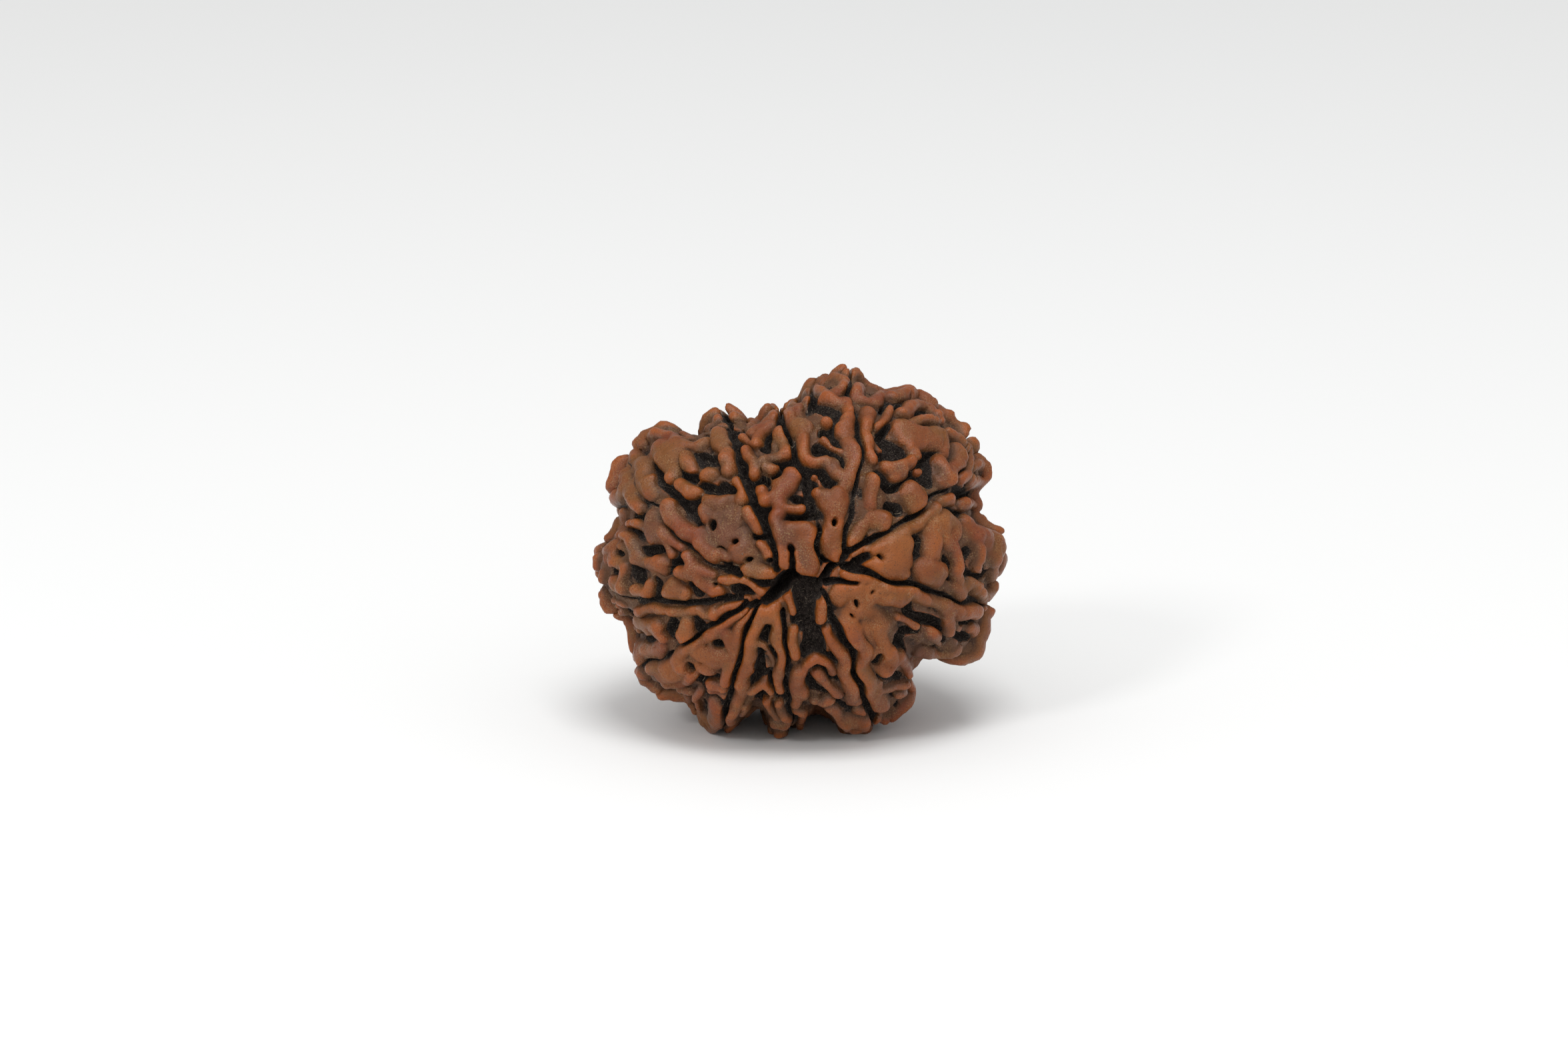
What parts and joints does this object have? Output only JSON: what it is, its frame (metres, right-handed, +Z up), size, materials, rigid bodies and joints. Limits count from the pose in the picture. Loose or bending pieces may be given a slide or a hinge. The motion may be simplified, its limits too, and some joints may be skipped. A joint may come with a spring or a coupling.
{
  "type": "rudraksha seed",
  "caption": "Dry rudraksha seed: a woody, slightly flattened ball with clefts from pole to pole and knobbly ridges and pits between them, resting on low knobs.",
  "frame": {"origin": "centre of the bounding box at the surface that the seed rests on", "axes": "+Z up, +X to the right of the face with the front hole, the holes' axis runs along Y with the front hole at -Y"},
  "size_m": [0.0264, 0.021, 0.0226],
  "materials": {
    "endocarp": "dry woody seed stone, satin on the ridges, dull and dark in the hollows"
  },
  "bodies": {
    "root": {"rudraksha_seed": "endocarp"}
  },
  "joints": []
}
